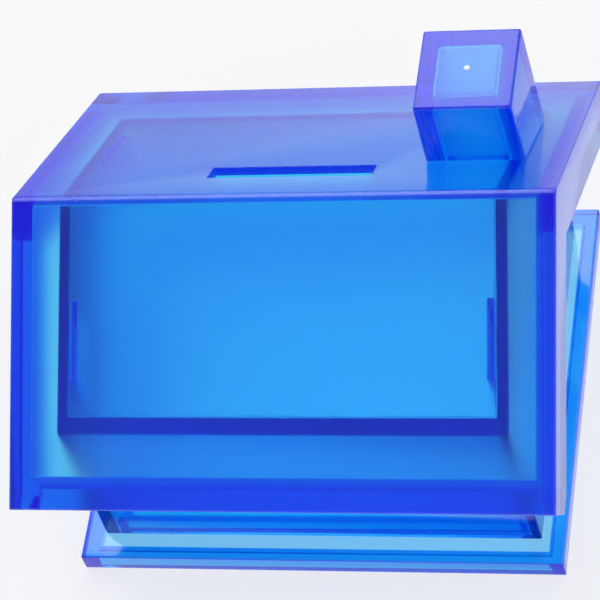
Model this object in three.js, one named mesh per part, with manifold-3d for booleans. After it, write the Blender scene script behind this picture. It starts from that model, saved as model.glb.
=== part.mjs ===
// House-shaped money box in clear plastic: a roof with a coin slot and a chimney, on plain walls that lift off
// a tray-shaped base. Millimetres, +Z up, ridge along X, front towards -Y, origin at the middle of the underside.

import * as THREE from 'three';
import { mergeVertices } from 'three/addons/utils/BufferGeometryUtils.js';
import Module from 'manifold-3d';

const wasm = await Module();
wasm.setup();

// Roof
const roofLength = 108;
const roofDepth = 103.5;
const roofPitchDegrees = 32;
const ridgeHeight = 70;
const ridgeFlat = 1.2;
const roofPlate = 2.3;
const gableBandDepth = 12.4;
const gableBandWall = 4;
const hemWall = 6.5;
const hemTip = 4.5;
const hemDepth = 10.4;

// Coin slot, behind the ridge
const slotLength = 33;
const slotWidth = 4.3;
const slotSetback = 10.2;

// Chimney, on the back slope near the right-hand gable
const chimneyWidth = 19.2;
const chimneyWall = 3.3;
const chimneyCap = 1;
const chimneyRise = 8.5;
const chimneyEndInset = 8.4;
const chimneySetback = 13.2;
const chimneyDraftDegrees = 0.7;
const seatWall = 1.6;
const seatRise = 2.2;

// Walls
const gableWallThickness = 2.4;
const frontWallThickness = 2.9;
const gableOverhang = 8.7;
const eaveOverhang = 13.95;
const gableWallDraftDegrees = 0.8;

// Ribs under the slopes that locate the gable walls
const ribThickness = 1.2;
const ribLength = 13;
const ribDrop = 9;
const ribInset = 6;

// Base
const baseHeight = 4.6;
const basePlate = 1.3;
const baseSkirt = 3.1;
const gableLedge = 4.7;
const frontLedge = 5.5;
const rimThickness = 1.6;
const rimHeight = 4.5;
const rimLeadIn = 0.8;

// Fits
const cementGap = 0.2;
const slidingGap = 0.25;
const rootDepth = 1;
const cutMargin = 5;

const pitch = THREE.MathUtils.degToRad(roofPitchDegrees);
const slope = Math.tan(pitch);
const gableWallDraft = Math.tan(THREE.MathUtils.degToRad(gableWallDraftDegrees));
const chimneyDraft = Math.tan(THREE.MathUtils.degToRad(chimneyDraftDegrees));

const gableX = roofLength / 2;
const eaveY = roofDepth / 2;
const wallFootX = gableX - gableOverhang;
const wallFootY = eaveY - eaveOverhang;
const chimneyTop = ridgeHeight + chimneyRise;
const chimneyX = gableX - chimneyEndInset - chimneyWidth / 2;
const chimneyY = chimneySetback + chimneyWidth / 2;

const roofTopAt = (y) => ridgeHeight - Math.abs(y) * slope;
const undersideAt = (y) => roofTopAt(y) - roofPlate / Math.cos(pitch);

// A point near the back eave: so far up the slope from its edge, and so far below the slope, square to it
const eavePoint = (upSlope, below) => [
  eaveY - upSlope * Math.cos(pitch) - below * Math.sin(pitch),
  roofTopAt(eaveY) + upSlope * Math.sin(pitch) - below * Math.cos(pitch),
];
const [, hemBottom] = eavePoint(0, hemDepth);

// Half sizes of the walls at a height: the gable walls lean in, the front and back walls are upright
const outerWallX = (z) => wallFootX - (z - baseHeight) * gableWallDraft;
const innerWallX = (z) => outerWallX(z) - gableWallThickness;
const outerWallY = () => wallFootY;
const innerWallY = () => wallFootY - frontWallThickness;

// Half sizes of the drafted chimney at a height
const chimneyHalf = (z) => chimneyWidth / 2 + (chimneyTop - z) * chimneyDraft;
const flueHalf = (z) => chimneyHalf(z) - chimneyWall;

function solid(geometry) {
  geometry.deleteAttribute('normal');
  geometry.deleteAttribute('uv');
  const welded = mergeVertices(geometry);
  const vertProperties = new Float32Array(welded.attributes.position.array);
  const triVerts = new Uint32Array(welded.index.array);
  return new wasm.Manifold(new wasm.Mesh({ numProp: 3, vertProperties, triVerts }));
}

function mesh(name, manifold, material) {
  const { vertProperties, triVerts } = manifold.getMesh();
  const geometry = new THREE.BufferGeometry();
  geometry.setAttribute('position', new THREE.BufferAttribute(vertProperties, 3));
  geometry.setIndex(new THREE.BufferAttribute(triVerts, 1));
  geometry.computeVertexNormals();
  const piece = new THREE.Mesh(geometry, material);
  piece.name = name;
  return piece;
}

function clearPlastic(color, opacity) {
  return new THREE.MeshStandardMaterial({
    color, opacity, transparent: true, roughness: 0.12, metalness: 0, flatShading: true,
  });
}

function box(halfX, halfY, bottom, top, x = 0, y = 0) {
  const geometry = new THREE.BoxGeometry(2 * halfX, 2 * halfY, top - bottom);
  geometry.translate(x, y, (bottom + top) / 2);
  return solid(geometry);
}

// A block whose half sizes follow a height, so its four sides are drafted
function draftedBox(halfX, halfY, bottom, top, x = 0, y = 0) {
  const geometry = new THREE.BoxGeometry(2, 2, top - bottom);
  geometry.translate(0, 0, (bottom + top) / 2);
  const { position } = geometry.attributes;
  for (let i = 0; i < position.count; i += 1) {
    const z = position.getZ(i);
    position.setXY(i, x + position.getX(i) * halfX(z), y + position.getY(i) * halfY(z));
  }
  return solid(geometry);
}

// A section of [y, z] points drawn out along X
function prism(section, fromX, toX) {
  const outline = new THREE.Shape(section.map(([y, z]) => new THREE.Vector2(y, z)));
  const geometry = new THREE.ExtrudeGeometry(outline, { depth: toX - fromX, bevelEnabled: false });
  const alongX = new THREE.Matrix4().makeBasis(
    new THREE.Vector3(0, 1, 0), new THREE.Vector3(0, 0, 1), new THREE.Vector3(1, 0, 0),
  );
  geometry.applyMatrix4(alongX);
  geometry.translate(fromX, 0, 0);
  return solid(geometry);
}

// A section drawn as its back half, from the top round to the middle, is made whole by its front half
function mirrored(backHalf) {
  const front = backHalf.map(([y, z]) => [-y, z]).reverse();
  const doubled = [...backHalf, ...front];
  return doubled.filter(([y], i) => y !== 0 || i < backHalf.length);
}

function slopesAndHems() {
  const section = mirrored([
    [ridgeFlat / 2, roofTopAt(ridgeFlat / 2)],
    eavePoint(0, 0),
    eavePoint(0, hemDepth),
    eavePoint(hemTip, hemDepth),
    eavePoint(hemWall, roofPlate),
    [0, undersideAt(0)],
  ]);
  return prism(section, -gableX, gableX);
}

function gableBand(fromX) {
  const section = mirrored([
    [ridgeFlat / 2, roofTopAt(ridgeFlat / 2)],
    eavePoint(0, 0),
    eavePoint(0, gableBandDepth),
    [0, roofTopAt(0) - gableBandDepth / Math.cos(pitch)],
  ]);
  const band = prism(section, fromX, fromX + gableBandWall);
  const belowHems = box(roofLength, roofDepth, hemBottom - roofDepth, hemBottom);
  return band.subtract(belowHems);
}

function locatingRib(endSide, slopeSide) {
  const outerY = innerWallY() - ribInset;
  const innerY = outerY - ribLength;
  const outerX = innerWallX(undersideAt(innerY)) - slidingGap;
  const section = [
    [innerY, undersideAt(innerY) + rootDepth],
    [innerY, undersideAt(innerY) - ribDrop],
    [outerY, undersideAt(outerY) - ribDrop],
    [outerY, undersideAt(outerY) + rootDepth],
  ].map(([y, z]) => [slopeSide * y, z]);
  const nearX = endSide > 0 ? outerX - ribThickness : -outerX;
  return prism(section, nearX, nearX + ribThickness);
}

// A low frame on the back slope that stands inside the chimney's flue
function chimneySeat() {
  const half = flueHalf(roofTopAt(chimneySetback) + seatRise) - slidingGap;
  const front = chimneyY - half;
  const back = chimneyY + half;
  const block = prism([
    [front, roofTopAt(front) - rootDepth],
    [back, roofTopAt(back) - rootDepth],
    [back, roofTopAt(back) + seatRise],
    [front, roofTopAt(front) + seatRise],
  ], chimneyX - half, chimneyX + half);
  const hollow = box(half - seatWall, half - seatWall, 0, chimneyTop, chimneyX, chimneyY);
  return block.subtract(hollow);
}

function roofShell() {
  const slot = box(slotLength / 2, slotWidth / 2, 0, ridgeHeight + cutMargin, 0, slotSetback);
  let roof = slopesAndHems()
    .add(gableBand(-gableX))
    .add(gableBand(gableX - gableBandWall))
    .add(chimneySeat());
  for (const endSide of [-1, 1]) {
    for (const slopeSide of [-1, 1]) {
      roof = roof.add(locatingRib(endSide, slopeSide));
    }
  }
  return roof.subtract(slot);
}

function chimney() {
  const foot = roofTopAt(chimneySetback + chimneyWidth) - cutMargin;
  const block = draftedBox(chimneyHalf, chimneyHalf, foot, chimneyTop, chimneyX, chimneyY);
  const flue = draftedBox(flueHalf, flueHalf, foot - cutMargin, chimneyTop - chimneyCap, chimneyX, chimneyY);
  const roofBelow = prism([
    [-cutMargin, roofTopAt(roofDepth) - cutMargin],
    [roofDepth, roofTopAt(roofDepth) - cutMargin],
    [roofDepth, roofTopAt(roofDepth) + cementGap],
    [0, ridgeHeight + cementGap],
    [-cutMargin, ridgeHeight + cementGap],
  ], 0, roofLength);
  return block.subtract(flue).subtract(roofBelow);
}

function houseWalls() {
  const shell = draftedBox(outerWallX, outerWallY, baseHeight, ridgeHeight);
  const room = draftedBox(innerWallX, innerWallY, baseHeight - cutMargin, ridgeHeight + cutMargin);
  const underRoof = prism(mirrored([
    [eaveY, baseHeight],
    [eaveY, undersideAt(eaveY) - cementGap],
    [0, undersideAt(0) - cementGap],
  ]), -gableX, gableX);
  return shell.subtract(room).intersect(underRoof);
}

// The rim that the walls press on to, with its outer top edge cut away to lead them on
function wallRim() {
  const foot = baseHeight - rootDepth;
  const top = baseHeight + rimHeight;
  const shoulder = top - rimLeadIn;
  const halfX = innerWallX(top) - slidingGap;
  const halfY = innerWallY() - slidingGap;
  const upright = box(halfX, halfY, foot, top);
  const leadIn = draftedBox((z) => halfX + shoulder - z, (z) => halfY + shoulder - z, foot, top);
  const room = box(halfX - rimThickness, halfY - rimThickness, foot - cutMargin, top + cutMargin);
  return upright.intersect(leadIn).subtract(room);
}

function baseTray() {
  const halfX = wallFootX + gableLedge;
  const halfY = wallFootY + frontLedge;
  const pocket = box(halfX - baseSkirt, halfY - baseSkirt, -cutMargin, baseHeight - basePlate);
  return box(halfX, halfY, 0, baseHeight).subtract(pocket).add(wallRim());
}

const house = new THREE.Group();
house.add(mesh('roof_shell', roofShell(), clearPlastic(0x2f86f5, 0.55)));
house.add(mesh('chimney', chimney(), clearPlastic(0x1f6cf0, 0.65)));
house.add(mesh('house_walls', houseWalls(), clearPlastic(0x2b55d8, 0.6)));

const moneyBox = new THREE.Group();
moneyBox.add(house);
moneyBox.add(mesh('base_tray', baseTray(), clearPlastic(0x4f9bf7, 0.55)));

export default moneyBox;
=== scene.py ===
"""House-shaped money box in clear blue plastic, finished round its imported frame.

Metres, +Z up, ridge along X, front towards -Y. Four mouldings are cemented or pressed together: a roof
with a coin slot, a chimney, a tube of walls and a tray-shaped base. Their colour comes from dye in the
plastic, so it deepens with the length of plastic that the light crosses.
"""

import math

import bmesh
import bpy
from bpy.props import FloatProperty, FloatVectorProperty, IntProperty, PointerProperty
from mathutils import Matrix, Quaternion, Vector


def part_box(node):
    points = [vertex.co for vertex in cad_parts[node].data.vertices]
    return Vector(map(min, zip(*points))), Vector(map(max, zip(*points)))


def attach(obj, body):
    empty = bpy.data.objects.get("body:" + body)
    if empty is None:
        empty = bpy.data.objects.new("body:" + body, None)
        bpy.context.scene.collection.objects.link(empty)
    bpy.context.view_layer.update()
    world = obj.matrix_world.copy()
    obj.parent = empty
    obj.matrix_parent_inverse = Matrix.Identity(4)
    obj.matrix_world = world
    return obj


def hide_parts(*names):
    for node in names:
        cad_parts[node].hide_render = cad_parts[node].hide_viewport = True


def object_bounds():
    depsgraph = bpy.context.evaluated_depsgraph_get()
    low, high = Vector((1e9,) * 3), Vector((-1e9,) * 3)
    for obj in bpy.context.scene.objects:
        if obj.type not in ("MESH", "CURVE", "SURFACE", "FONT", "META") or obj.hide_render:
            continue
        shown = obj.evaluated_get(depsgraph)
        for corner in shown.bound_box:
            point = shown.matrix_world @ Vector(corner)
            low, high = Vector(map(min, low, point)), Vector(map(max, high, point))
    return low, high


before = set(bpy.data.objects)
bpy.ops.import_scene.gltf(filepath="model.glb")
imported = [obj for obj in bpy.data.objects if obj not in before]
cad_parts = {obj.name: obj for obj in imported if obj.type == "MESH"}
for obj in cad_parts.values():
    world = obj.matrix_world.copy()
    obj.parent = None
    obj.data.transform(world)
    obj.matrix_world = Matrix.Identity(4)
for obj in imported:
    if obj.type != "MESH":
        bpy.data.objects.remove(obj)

bl_info = {
    "name": "Clear House Money Box",
    "version": (1, 0, 0),
    "blender": (4, 5, 0),
    "location": "View3D > Sidebar > Money Box",
    "description": "Finishes a house-shaped money box in clear moulded plastic",
    "category": "Add Mesh",
}

CAD_LOW, CAD_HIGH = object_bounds()
MM = 0.001
WHITE = (1.0, 1.0, 1.0, 1.0)

# Solids and their roundings
WELD_DISTANCE = 0.001 * MM
FLAT_ANGLE = math.radians(0.5)
SHARP_ANGLE = math.radians(12.0)
LONG_EDGE = 15.0 * MM
SHORT_EDGE_RADIUS = 0.3 * MM
ROUNDING_STEPS = 4
SEAT_GAP = 0.05 * MM

# Points inside the mould's cores, which the core-made faces look towards
ROOM_HUB_SHARE = 0.4
ROOM_HUB = Vector((0.0, 0.0, CAD_HIGH[2] * ROOM_HUB_SHARE))
TRAY_HUB = Vector((0.0, 0.0, -5.0 * MM))

# Moulded surfaces, where the fade gives the levels of noise between which a smudge comes in
SMUDGE_SCALE = 70.0
SMUDGE_DETAIL = 4.0
SMUDGE_FADE = (0.45, 0.75)
RIPPLE_DETAIL = 1.0
RIPPLE_STRENGTH = 0.5
RIPPLE_DEPTH = 0.05 * MM

# Gate mark, whose profile gives shares of its radius and of its height
GATE_SIDES = 16
GATE_PROFILE = ((1.0, -0.2), (1.0, 0.4), (0.8, 0.85), (0.4, 1.0))
GATE_ROUGHNESS = 0.6
GATE_GRAIN_SCALE = 4000.0
GATE_GRAIN_DEPTH = 0.05 * MM

# Cement, laid where a top meets an upright side, which are told by how far their normals point up
TOP_FROM = 0.5
UPRIGHT_BELOW = 0.2
BEAD_SIDES = 8
BEAD_STEP_RADII = 2
BEAD_SWELL_SCALE = 160.0
BEAD_SWELL_FADE = (0.3, 0.7)

# Stage, where the fade gives the cosines between which the ceiling goes from white to dim
DIM_FADE = (0.7, 0.95)
FLOOR_ROUGHNESS = 0.9
CLEAR_BOUNCES = 48
GLOSSY_BOUNCES = 24
DIFFUSE_BOUNCES = 8


def moulding_properties(
    *, edge_radius, fillet_radius, passed_colour, dye_depth, polish, core_matt, smudge, ripple_scale
):
    """The settings of one moulding with its own defaults, as the annotations of its property group."""
    return {
        "edge_radius": FloatProperty(
            name="Edge radius", description="Rounding of the long outer edges",
            default=edge_radius, min=0.05 * MM, max=3.0 * MM, unit="LENGTH",
        ),
        "fillet_radius": FloatProperty(
            name="Fillet radius", description="Rounding of the inner corners",
            default=fillet_radius, min=0.05 * MM, max=3.0 * MM, unit="LENGTH",
        ),
        "passed_colour": FloatVectorProperty(
            name="Passed colour", description="Colour that the dyed plastic lets through",
            default=passed_colour, size=3, min=0.0, max=1.0, subtype="COLOR",
        ),
        "dye_depth": FloatProperty(
            name="Dye depth", description="Light taken up for each metre of plastic that it crosses",
            default=dye_depth, min=0.0, max=5000.0,
        ),
        "polish": FloatProperty(
            name="Outside roughness", description="Roughness of the polished outside",
            default=polish, min=0.0, max=1.0, subtype="FACTOR",
        ),
        "core_matt": FloatProperty(
            name="Core roughness", description="Roughness of the faces that the mould's core made",
            default=core_matt, min=0.0, max=1.0, subtype="FACTOR",
        ),
        "smudge": FloatProperty(
            name="Smudges", description="Roughness that faint smudges add",
            default=smudge, min=0.0, max=1.0, subtype="FACTOR",
        ),
        "ripple_scale": FloatProperty(
            name="Ripples", description="Ripples of the surface in each metre",
            default=ripple_scale, min=0.0,
        ),
    }


class RoofSettings(bpy.types.PropertyGroup):
    """The roof with its coin slot."""

    __annotations__ = moulding_properties(
        edge_radius=0.7 * MM, fillet_radius=0.4 * MM, passed_colour=(0.0, 0.815, 0.995), dye_depth=950.0,
        polish=0.14, core_matt=0.5, smudge=0.03, ripple_scale=45.0,
    )


class ChimneySettings(bpy.types.PropertyGroup):
    """The chimney and the mark where its moulding was broken from the runner."""

    __annotations__ = moulding_properties(
        edge_radius=0.5 * MM, fillet_radius=1.1 * MM, passed_colour=(0.0, 0.84, 0.994), dye_depth=700.0,
        polish=0.08, core_matt=0.5, smudge=0.03, ripple_scale=60.0,
    )
    gate_radius: FloatProperty(
        name="Gate radius", description="Radius of the pale mark on the cap",
        default=0.6 * MM, min=0.1 * MM, unit="LENGTH",
    )
    gate_height: FloatProperty(
        name="Gate height", description="Height that the mark stands above the cap",
        default=0.25 * MM, min=0.05 * MM, unit="LENGTH",
    )
    gate_shade: FloatVectorProperty(
        name="Gate shade", description="Colour of the mark's bluer grains",
        default=(0.75, 0.86, 1.0), size=3, min=0.0, max=1.0, subtype="COLOR",
    )
    gate_light: FloatVectorProperty(
        name="Gate light", description="Colour of the mark's whiter grains",
        default=(0.95, 0.98, 1.0), size=3, min=0.0, max=1.0, subtype="COLOR",
    )


class WallSettings(bpy.types.PropertyGroup):
    """The tube of four walls."""

    __annotations__ = moulding_properties(
        edge_radius=0.4 * MM, fillet_radius=0.4 * MM, passed_colour=(0.0, 0.86, 0.989), dye_depth=950.0,
        polish=0.08, core_matt=0.25, smudge=0.02, ripple_scale=50.0,
    )


class BaseSettings(bpy.types.PropertyGroup):
    """The base with the rim that the walls press on to."""

    __annotations__ = moulding_properties(
        edge_radius=0.5 * MM, fillet_radius=0.4 * MM, passed_colour=(0.0, 0.76, 0.996), dye_depth=950.0,
        polish=0.08, core_matt=0.3, smudge=0.04, ripple_scale=40.0,
    )


class PlasticSettings(bpy.types.PropertyGroup):
    """The clear blue plastic of all four mouldings, and the cement between them."""

    refraction: FloatProperty(
        name="Refraction", description="Index of refraction of styrene plastic",
        default=1.58, min=1.0, max=2.0,
    )
    bead_radius: FloatProperty(
        name="Bead radius", description="Radius of the squeezed-out cement where it is thickest",
        default=0.28 * MM, min=0.05 * MM, max=1.0 * MM, unit="LENGTH",
    )
    bead_unevenness: FloatProperty(
        name="Bead unevenness", description="Share by which the bead swells and thins",
        default=0.7, min=0.0, max=1.0, subtype="FACTOR",
    )
    bead_seed: IntProperty(
        name="Bead seed", description="Picks where the bead swells", default=3, min=0,
    )


class StageSettings(bpy.types.PropertyGroup):
    """Camera, light and floor."""

    azimuth: FloatProperty(
        name="Azimuth", description="Camera's turn to the right of the front",
        default=math.radians(24.35), subtype="ANGLE",
    )
    elevation: FloatProperty(
        name="Elevation", description="Camera's height above the horizon",
        default=math.radians(52.94), subtype="ANGLE",
    )
    roll: FloatProperty(
        name="Roll", description="Camera's turn about its own axis",
        default=math.radians(-20.25), subtype="ANGLE",
    )
    distance: FloatProperty(
        name="Distance", description="From the camera to the point that it looks at",
        default=0.6, min=0.1, unit="LENGTH",
    )
    target: FloatVectorProperty(
        name="Target", description="Point that the camera looks at",
        default=(0.0003, -0.0078, 0.0454), size=3, subtype="XYZ", unit="LENGTH",
    )
    lens: FloatProperty(
        name="Lens", description="Focal length in millimetres",
        default=183.0, min=10.0, unit="CAMERA",
    )
    floor_colour: FloatVectorProperty(
        name="Floor colour", description="Colour of the pale floor",
        default=(0.92, 0.92, 0.92), size=3, min=0.0, max=1.0, subtype="COLOR",
    )
    floor_brightness: FloatProperty(
        name="Floor brightness", description="White level that the seen floor is lifted towards",
        default=0.96, min=0.0, max=1.0, subtype="FACTOR",
    )
    floor_lift: FloatProperty(
        name="Floor lift", description="Share by which the seen floor and its shadow are lifted",
        default=0.75, min=0.0, max=1.0, subtype="FACTOR",
    )
    floor_size: FloatProperty(
        name="Floor size", description="Side of the square floor",
        default=6.0, min=0.5, unit="LENGTH",
    )
    room_brightness: FloatProperty(
        name="Room", description="Brightness of the white surroundings",
        default=0.97, min=0.0, max=1.0, subtype="FACTOR",
    )
    dim_brightness: FloatProperty(
        name="Dim ceiling", description="Brightness of the ceiling that the front slope mirrors",
        default=0.3, min=0.0, max=1.0, subtype="FACTOR",
    )
    dim_direction: FloatVectorProperty(
        name="Dim direction", description="Way from the object to the dim ceiling",
        default=(-0.25, -0.48, 0.84), size=3, subtype="DIRECTION",
    )
    softbox_power: FloatProperty(
        name="Softbox", description="Power of the lamp",
        default=11.76, min=0.0, unit="POWER",
    )
    softbox_size: FloatProperty(
        name="Softbox size", description="Side of the square lamp",
        default=1.2, min=0.1, unit="LENGTH",
    )
    softbox_distance: FloatProperty(
        name="Softbox distance", description="From the object to the lamp",
        default=2.0, min=0.5, unit="LENGTH",
    )


# Solids taken from the frame

def solid_copy(node):
    """A merged copy of a frame node, with its flat triangles joined into whole faces."""
    shape = bmesh.new()
    shape.from_mesh(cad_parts[node].data)
    bmesh.ops.remove_doubles(shape, verts=shape.verts, dist=WELD_DISTANCE)
    bmesh.ops.dissolve_limit(shape, angle_limit=FLAT_ANGLE, verts=shape.verts, edges=shape.edges)
    shape.normal_update()
    return shape


def on_core_side(normal, centre, hub):
    """Whether a face looks towards the hub, where the mould's core was."""
    return normal.dot(centre - hub) < 0.0


def is_sharp(edge):
    """Whether two faces meet at an edge that would be rounded in a mould."""
    return len(edge.link_faces) == 2 and edge.calc_face_angle() > SHARP_ANGLE


def rounding_of(edge, moulding):
    """The radius that is wanted for a sharp edge."""
    if not edge.is_convex:
        return moulding.fillet_radius
    if edge.calc_length() < LONG_EDGE:
        return min(SHORT_EDGE_RADIUS, moulding.edge_radius)
    return moulding.edge_radius


def mark_roundings(shape, moulding):
    """Gives each sharp edge its share of the widest rounding, and returns that width."""
    widest = max(moulding.edge_radius, moulding.fillet_radius)
    weight = shape.edges.layers.float.new("bevel_weight_edge")
    for edge in filter(is_sharp, shape.edges):
        edge[weight] = rounding_of(edge, moulding) / widest
    return widest


def new_object(name, data):
    """An object in the scene, at the origin."""
    piece = bpy.data.objects.new(name, data)
    bpy.context.scene.collection.objects.link(piece)
    return piece


def make_plain(piece):
    """Turns a piece and its modifiers into a plain mesh."""
    seen = piece.evaluated_get(bpy.context.evaluated_depsgraph_get())
    plain = bpy.data.meshes.new_from_object(seen)
    old = piece.data
    piece.modifiers.clear()
    piece.data = plain
    bpy.data.meshes.remove(old)
    plain.name = piece.name


def rounded(name, shape, moulding):
    """Turns a solid into a piece with every sharp edge rounded, all a little less where room is short."""
    width = mark_roundings(shape, moulding)
    for face in shape.faces:
        face.smooth = True
    mesh = bpy.data.meshes.new(name)
    shape.to_mesh(mesh)
    piece = new_object(name, mesh)
    bevel = piece.modifiers.new("edge_rounding", "BEVEL")
    bevel.width = width
    bevel.segments = ROUNDING_STEPS
    bevel.limit_method = "WEIGHT"
    bevel.harden_normals = True
    weld = piece.modifiers.new("weld", "WELD")
    weld.merge_threshold = WELD_DISTANCE
    make_plain(piece)
    return piece


def mark_core_side(mesh, hub):
    """Marks the faces that the mould's core made, which are less polished than the outside."""
    mask = mesh.attributes.new("core_side", "FLOAT", "FACE")
    for face in mesh.polygons:
        mask.data[face.index].value = float(on_core_side(face.normal, face.center, hub))


def moulded_piece(name, node, moulding, hub):
    """A rounded copy of a frame node, with its core side marked."""
    shape = solid_copy(node)
    piece = rounded(name, shape, moulding)
    shape.free()
    mark_core_side(piece.data, hub)
    return piece


def lift_foot(mesh):
    """Leaves a hair of air under a foot, so that it doesn't share a face with what it stands on."""
    foot = min(point.co.z for point in mesh.vertices)
    for point in mesh.vertices:
        point.co.z = max(point.co.z, foot + SEAT_GAP)


# Node trees

def feed(node, inputs):
    """Sets each input of a node, or links it where it is given another node's output."""
    for socket, value in inputs.items():
        if isinstance(value, bpy.types.NodeSocket):
            node.id_data.links.new(value, node.inputs[socket])
        else:
            node.inputs[socket].default_value = value


def add_node(tree, kind, inputs=None, **settings):
    """Adds a node with its settings and its inputs."""
    node = tree.nodes.new(kind)
    for name, value in settings.items():
        setattr(node, name, value)
    feed(node, inputs or {})
    return node


def add_sockets(tree, in_out, kind, *names):
    """Gives a node group inputs or outputs of one kind."""
    for name in names:
        tree.interface.new_socket(name, in_out=in_out, socket_type=kind)


# Finishes

def new_material(name):
    """A material with its tree of nodes, its shader and its output."""
    material = bpy.data.materials.new(name)
    material.use_nodes = True
    tree = material.node_tree
    return material, tree, tree.nodes["Principled BSDF"], tree.nodes["Material Output"]


def moulded_surface_group():
    """Roughness and relief of a moulded face: polish with smudges outside, matt on the core side."""
    group = bpy.data.node_groups.get("moulded_surface")
    if group:
        return group
    group = bpy.data.node_groups.new("moulded_surface", "ShaderNodeTree")
    add_sockets(group, "INPUT", "NodeSocketVector", "Vector")
    add_sockets(group, "INPUT", "NodeSocketFloat", "Core side", "Polish", "Core matt")
    add_sockets(group, "INPUT", "NodeSocketFloat", "Smudge", "Ripple scale")
    add_sockets(group, "OUTPUT", "NodeSocketFloat", "Roughness", "Height")
    given = add_node(group, "NodeGroupInput").outputs
    side = add_node(group, "ShaderNodeMix", {
        "Factor": given["Core side"], "A": given["Polish"], "B": given["Core matt"],
    })
    smudges = add_node(group, "ShaderNodeTexNoise", {
        "Vector": given["Vector"], "Scale": SMUDGE_SCALE, "Detail": SMUDGE_DETAIL,
    })
    patches = add_node(group, "ShaderNodeMapRange", {
        "Value": smudges.outputs["Fac"], "From Min": SMUDGE_FADE[0], "From Max": SMUDGE_FADE[1],
        "To Max": given["Smudge"],
    })
    total = add_node(group, "ShaderNodeMath", {
        0: side.outputs["Result"], 1: patches.outputs["Result"],
    }, operation="ADD")
    ripples = add_node(group, "ShaderNodeTexNoise", {
        "Vector": given["Vector"], "Scale": given["Ripple scale"], "Detail": RIPPLE_DETAIL,
    })
    add_node(group, "NodeGroupOutput", {
        "Roughness": total.outputs["Value"], "Height": ripples.outputs["Fac"],
    })
    return group


def add_surface(tree, shader, moulding):
    """Puts the moulded surface on a shader."""
    coordinates = add_node(tree, "ShaderNodeTexCoord")
    side = add_node(tree, "ShaderNodeAttribute", attribute_name="core_side")
    surface = add_node(tree, "ShaderNodeGroup", {
        "Vector": coordinates.outputs["Object"],
        "Core side": side.outputs["Fac"],
        "Polish": moulding.polish,
        "Core matt": moulding.core_matt,
        "Smudge": moulding.smudge,
        "Ripple scale": moulding.ripple_scale,
    }, node_tree=moulded_surface_group())
    relief = add_node(tree, "ShaderNodeBump", {
        "Strength": RIPPLE_STRENGTH, "Distance": RIPPLE_DEPTH, "Height": surface.outputs["Height"],
    })
    feed(shader, {"Roughness": surface.outputs["Roughness"], "Normal": relief.outputs["Normal"]})


def dyed_plastic(name, moulding):
    """Clear plastic with blue dye in it."""
    material, tree, shader, output = new_material(name)
    plastic = bpy.context.scene.house_plastic
    feed(shader, {"Base Color": WHITE, "IOR": plastic.refraction, "Transmission Weight": 1.0})
    add_surface(tree, shader, moulding)
    dye = add_node(tree, "ShaderNodeVolumeAbsorption", {
        "Color": (*moulding.passed_colour, 1.0), "Density": moulding.dye_depth,
    })
    feed(output, {"Volume": dye.outputs["Volume"]})
    return material


def torn_gate(moulding):
    """Pale plastic, whitened where the runner was broken off."""
    material, tree, shader, _ = new_material("torn_gate")
    coordinates = add_node(tree, "ShaderNodeTexCoord")
    grain = add_node(tree, "ShaderNodeTexNoise", {
        "Vector": coordinates.outputs["Object"], "Scale": GATE_GRAIN_SCALE,
    })
    tint = add_node(tree, "ShaderNodeMix", {
        "Factor": grain.outputs["Fac"],
        "A": (*moulding.gate_shade, 1.0),
        "B": (*moulding.gate_light, 1.0),
    }, data_type="RGBA")
    relief = add_node(tree, "ShaderNodeBump", {
        "Distance": GATE_GRAIN_DEPTH, "Height": grain.outputs["Fac"],
    })
    feed(shader, {
        "Base Color": tint.outputs["Result"],
        "Roughness": GATE_ROUGHNESS,
        "Normal": relief.outputs["Normal"],
    })
    return material


def set_material(piece, material):
    """Gives a piece its one material."""
    piece.data.materials.clear()
    piece.data.materials.append(material)


# Cement beads, which follow the joints

def bead_thickness(tree, given):
    """The bead's radius at each point of its way, where it swells and thins."""
    swell = add_node(tree, "ShaderNodeTexNoise", {
        "W": given["Seed"], "Scale": BEAD_SWELL_SCALE,
    }, noise_dimensions="4D")
    thinnest = add_node(tree, "ShaderNodeMath", {0: 1.0, 1: given["Unevenness"]}, operation="SUBTRACT")
    spread = add_node(tree, "ShaderNodeMapRange", {
        "Value": swell.outputs["Fac"], "From Min": BEAD_SWELL_FADE[0], "From Max": BEAD_SWELL_FADE[1],
        "To Min": thinnest.outputs["Value"], "To Max": 1.0,
    })
    thickness = add_node(tree, "ShaderNodeMath", {
        0: spread.outputs["Result"], 1: given["Bead radius"],
    }, operation="MULTIPLY")
    return thickness.outputs["Value"]


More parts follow.
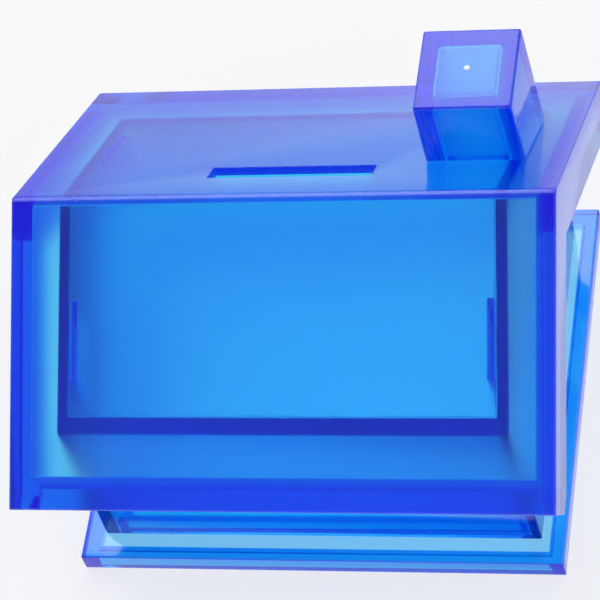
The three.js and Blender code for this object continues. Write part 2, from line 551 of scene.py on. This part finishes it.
def bead_tree():
    """Geometry nodes that run an uneven bead along the marked edges of a solid."""
    tree = bpy.data.node_groups.get("cement_bead")
    if tree:
        return tree
    tree = bpy.data.node_groups.new("cement_bead", "GeometryNodeTree")
    add_sockets(tree, "INPUT", "NodeSocketGeometry", "Geometry")
    add_sockets(tree, "INPUT", "NodeSocketFloat", "Bead radius", "Unevenness", "Step", "Seed")
    add_sockets(tree, "INPUT", "NodeSocketMaterial", "Material")
    add_sockets(tree, "OUTPUT", "NodeSocketGeometry", "Geometry")
    given = add_node(tree, "NodeGroupInput").outputs
    joint = add_node(tree, "GeometryNodeInputNamedAttribute", {"Name": "joint_line"}, data_type="BOOLEAN")
    route = add_node(tree, "GeometryNodeMeshToCurve", {
        "Mesh": given["Geometry"], "Selection": joint.outputs["Attribute"],
    })
    steps = add_node(tree, "GeometryNodeResampleCurve", {
        "Curve": route.outputs["Curve"], "Length": given["Step"],
    }, mode="LENGTH")
    section = add_node(tree, "GeometryNodeCurvePrimitiveCircle", {
        "Resolution": BEAD_SIDES, "Radius": 1.0,
    })
    bead = add_node(tree, "GeometryNodeCurveToMesh", {
        "Curve": steps.outputs["Curve"],
        "Profile Curve": section.outputs["Curve"],
        "Scale": bead_thickness(tree, given),
    })
    whole = add_node(tree, "GeometryNodeRealizeInstances", {"Geometry": bead.outputs["Mesh"]})
    painted = add_node(tree, "GeometryNodeSetMaterial", {
        "Geometry": whole.outputs["Geometry"], "Material": given["Material"],
    })
    add_node(tree, "NodeGroupOutput", {"Geometry": painted.outputs["Geometry"]})
    return tree


def set_modifier_inputs(modifier, values):
    """Sets a geometry nodes modifier's named inputs, by the identifiers of their sockets."""
    for item in modifier.node_group.interface.items_tree:
        if item.in_out == "INPUT" and item.name in values:
            modifier[item.identifier] = values[item.name]


def cement_bead(name, shape, is_joint, material):
    """A bead of cement along the edges of a solid that is_joint picks."""
    line = shape.edges.layers.bool.new("joint_line")
    for edge in filter(is_sharp, shape.edges):
        edge[line] = is_joint(edge)
    mesh = bpy.data.meshes.new(name)
    shape.to_mesh(mesh)
    piece = new_object(name, mesh)
    modifier = piece.modifiers.new("cement_bead", "NODES")
    modifier.node_group = bead_tree()
    plastic = bpy.context.scene.house_plastic
    set_modifier_inputs(modifier, {
        "Bead radius": plastic.bead_radius,
        "Unevenness": plastic.bead_unevenness,
        "Step": BEAD_STEP_RADII * plastic.bead_radius,
        "Seed": float(plastic.bead_seed),
        "Material": material,
    })
    make_plain(piece)
    for face in piece.data.polygons:
        face.use_smooth = True
    return piece


def is_inner_rim(edge):
    """Whether an edge is where the inside of a wall meets the wall's top."""
    tops = [face for face in edge.link_faces if face.normal.z > TOP_FROM]
    sides = [face for face in edge.link_faces if abs(face.normal.z) < UPRIGHT_BELOW]
    return bool(tops and sides) and on_core_side(sides[0].normal, sides[0].calc_center_median(), ROOM_HUB)


# Chimney

def chimney_foot_and_cap():
    """The middle of the chimney's open foot, and the middle of its cap."""
    low, high = (Vector(corner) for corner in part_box("chimney"))
    middle = (low + high) / 2
    return Vector((middle.x, middle.y, low.z)), Vector((middle.x, middle.y, high.z))


def gate_mark(centre, radius, height):
    """A low torn stub that stands on the chimney's cap."""
    shape = bmesh.new()
    rings = []
    for share, lift in GATE_PROFILE:
        circle = bmesh.ops.create_circle(shape, radius=radius * share, segments=GATE_SIDES)
        middle = centre + Vector((0.0, 0.0, height * lift))
        bmesh.ops.translate(shape, verts=circle["verts"], vec=middle)
        rings.append(circle["verts"])
    for lower, upper in zip(rings, rings[1:]):
        for i in range(GATE_SIDES):
            j = (i + 1) % GATE_SIDES
            shape.faces.new((lower[i], lower[j], upper[j], upper[i]))
    shape.faces.new(list(reversed(rings[0])))
    shape.faces.new(rings[-1])
    mesh = bpy.data.meshes.new("gate_mark")
    shape.to_mesh(mesh)
    shape.free()
    return new_object("gate_mark", mesh)


# Pieces

def place(piece, body, slot, *nodes):
    """Puts a piece on its body, in the place of the nodes that it stands for; the slot is not used."""
    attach(piece, body)
    if nodes:
        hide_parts(*nodes)


class HOUSE_OT_base(bpy.types.Operator):
    """Finish the base with its skirt, ledge and rim"""

    bl_idname = "house_box.base"
    bl_label = "Base"

    def execute(self, context):
        moulding = context.scene.house_base
        base = moulded_piece("clear_base", "base_tray", moulding, TRAY_HUB)
        set_material(base, dyed_plastic("base_plastic", moulding))
        place(base, "base", "base_plastic", "base_tray")
        return {"FINISHED"}


class HOUSE_OT_walls(bpy.types.Operator):
    """Finish the walls, and the cement that joins them to the roof"""

    bl_idname = "house_box.walls"
    bl_label = "Walls"

    def execute(self, context):
        moulding = context.scene.house_walls
        walls = moulded_piece("clear_walls", "house_walls", moulding, ROOM_HUB)
        lift_foot(walls.data)
        material = dyed_plastic("wall_plastic", moulding)
        set_material(walls, material)
        place(walls, "house", "wall_plastic", "house_walls")
        shape = solid_copy("house_walls")
        bead = cement_bead("wall_cement", shape, is_inner_rim, material)
        shape.free()
        place(bead, "house", "wall_plastic")
        return {"FINISHED"}


class HOUSE_OT_roof(bpy.types.Operator):
    """Finish the roof with its coin slot"""

    bl_idname = "house_box.roof"
    bl_label = "Roof"

    def execute(self, context):
        moulding = context.scene.house_roof
        roof = moulded_piece("clear_roof", "roof_shell", moulding, ROOM_HUB)
        set_material(roof, dyed_plastic("roof_plastic", moulding))
        place(roof, "house", "roof_plastic", "roof_shell")
        return {"FINISHED"}


class HOUSE_OT_chimney(bpy.types.Operator):
    """Finish the chimney with its gate mark"""

    bl_idname = "house_box.chimney"
    bl_label = "Chimney"

    def execute(self, context):
        moulding = context.scene.house_chimney
        foot, cap = chimney_foot_and_cap()
        stack = moulded_piece("clear_chimney", "chimney", moulding, foot)
        set_material(stack, dyed_plastic("chimney_plastic", moulding))
        place(stack, "house", "chimney_plastic", "chimney")
        mark = gate_mark(cap, moulding.gate_radius, moulding.gate_height)
        set_material(mark, torn_gate(moulding))
        place(mark, "house", "chimney_plastic")
        return {"FINISHED"}


# Stage

def make_camera(stage):
    """Sets up a camera at the photograph's angle, and returns the direction from its target to it."""
    data = bpy.data.cameras.new("camera")
    data.lens = stage.lens
    camera = new_object("camera", data)
    level = math.cos(stage.elevation)
    back = Vector((
        math.sin(stage.azimuth) * level,
        -math.cos(stage.azimuth) * level,
        math.sin(stage.elevation),
    ))
    camera.location = Vector(stage.target) + back * stage.distance
    camera.rotation_mode = "QUATERNION"
    upright = (-back).to_track_quat("-Z", "Y")
    camera.rotation_quaternion = upright @ Quaternion((0.0, 0.0, 1.0), stage.roll)
    bpy.context.scene.camera = camera
    return back


def make_room(stage):
    """White surroundings, with a dim stretch of ceiling that the front of the roof mirrors."""
    world = bpy.data.worlds.new("white_room")
    world.use_nodes = True
    tree = world.node_tree
    direction = add_node(tree, "ShaderNodeTexCoord")
    nearness = add_node(tree, "ShaderNodeVectorMath", {
        0: direction.outputs["Generated"], 1: Vector(stage.dim_direction).normalized(),
    }, operation="DOT_PRODUCT")
    level = add_node(tree, "ShaderNodeMapRange", {
        "Value": nearness.outputs["Value"], "From Min": DIM_FADE[0], "From Max": DIM_FADE[1],
        "To Min": stage.room_brightness, "To Max": stage.dim_brightness,
    }, interpolation_type="SMOOTHSTEP")
    feed(tree.nodes["Background"], {"Color": WHITE, "Strength": level.outputs["Result"]})
    bpy.context.scene.world = world


def make_softbox(stage, view):
    """A square lamp above and behind the object, where level faces mirror it to the camera."""
    data = bpy.data.lights.new("softbox", "AREA")
    data.shape = "SQUARE"
    data.size = stage.softbox_size
    data.energy = stage.softbox_power
    lamp = new_object("softbox", data)
    mirrored = Vector((-view.x, -view.y, view.z))
    lamp.location = Vector(stage.target) + mirrored * stage.softbox_distance
    lamp.rotation_mode = "QUATERNION"
    lamp.rotation_quaternion = (-mirrored).to_track_quat("-Z", "Y")


def pale_floor(stage):
    """A pale matt floor, lifted towards white where it is seen, straight or by way of the plastic."""
    material, tree, shader, output = new_material("pale_floor")
    material.cycles.emission_sampling = "NONE"
    feed(shader, {"Base Color": (*stage.floor_colour, 1.0), "Roughness": FLOOR_ROUGHNESS})
    glow = add_node(tree, "ShaderNodeEmission", {"Strength": stage.floor_brightness})
    ray = add_node(tree, "ShaderNodeLightPath").outputs
    seen_straight = add_node(tree, "ShaderNodeMath", {
        0: ray["Is Camera Ray"], 1: ray["Is Glossy Ray"],
    }, operation="MAXIMUM")
    seen = add_node(tree, "ShaderNodeMath", {
        0: seen_straight.outputs["Value"], 1: ray["Is Transmission Ray"],
    }, operation="MAXIMUM")
    share = add_node(tree, "ShaderNodeMath", {
        0: seen.outputs["Value"], 1: stage.floor_lift,
    }, operation="MULTIPLY")
    blend = add_node(tree, "ShaderNodeMixShader", {
        "Fac": share.outputs["Value"], 1: shader.outputs["BSDF"], 2: glow.outputs["Emission"],
    })
    feed(output, {"Surface": blend.outputs["Shader"]})
    return material


def make_floor(stage):
    """A pale floor, a hair below the base so that the two don't share a face."""
    shape = bmesh.new()
    below = Matrix.Translation((0.0, 0.0, -SEAT_GAP))
    bmesh.ops.create_grid(shape, x_segments=1, y_segments=1, size=stage.floor_size / 2, matrix=below)
    mesh = bpy.data.meshes.new("floor")
    shape.to_mesh(mesh)
    shape.free()
    floor = new_object("floor", mesh)
    set_material(floor, pale_floor(stage))


def allow_clear_plastic(cycles):
    """Lets light cross many clear walls without being cut off or blurred."""
    cycles.max_bounces = CLEAR_BOUNCES
    cycles.transmission_bounces = CLEAR_BOUNCES
    cycles.glossy_bounces = GLOSSY_BOUNCES
    cycles.diffuse_bounces = DIFFUSE_BOUNCES
    cycles.blur_glossy = 0.0


class HOUSE_OT_stage(bpy.types.Operator):
    """Set up the camera, the light and the floor"""

    bl_idname = "house_box.stage"
    bl_label = "Stage"

    def execute(self, context):
        stage = context.scene.house_stage
        view = make_camera(stage)
        make_room(stage)
        make_softbox(stage, view)
        make_floor(stage)
        allow_clear_plastic(context.scene.cycles)
        context.scene.view_settings.view_transform = "Standard"
        return {"FINISHED"}


class HOUSE_PT_sidebar(bpy.types.Panel):
    """Lists the pieces of the money box"""

    bl_label = "Money Box"
    bl_space_type = "VIEW_3D"
    bl_region_type = "UI"
    bl_category = "Money Box"

    def draw(self, context):
        for operator in OPERATORS:
            self.layout.operator(operator.bl_idname)


OPERATORS = (HOUSE_OT_stage, HOUSE_OT_base, HOUSE_OT_walls, HOUSE_OT_roof, HOUSE_OT_chimney)
SETTINGS = {
    "house_plastic": PlasticSettings,
    "house_base": BaseSettings,
    "house_walls": WallSettings,
    "house_roof": RoofSettings,
    "house_chimney": ChimneySettings,
    "house_stage": StageSettings,
}
CLASSES = (*SETTINGS.values(), *OPERATORS, HOUSE_PT_sidebar)


def register():
    for cls in CLASSES:
        bpy.utils.register_class(cls)
    for name, group in SETTINGS.items():
        setattr(bpy.types.Scene, name, PointerProperty(type=group))


def unregister():
    for name in SETTINGS:
        delattr(bpy.types.Scene, name)
    for cls in reversed(CLASSES):
        bpy.utils.unregister_class(cls)


def main():
    register()
    bpy.ops.house_box.stage()
    bpy.ops.house_box.base()
    bpy.ops.house_box.walls()
    bpy.ops.house_box.roof()
    bpy.ops.house_box.chimney()


if __name__ == "__main__":
    main()
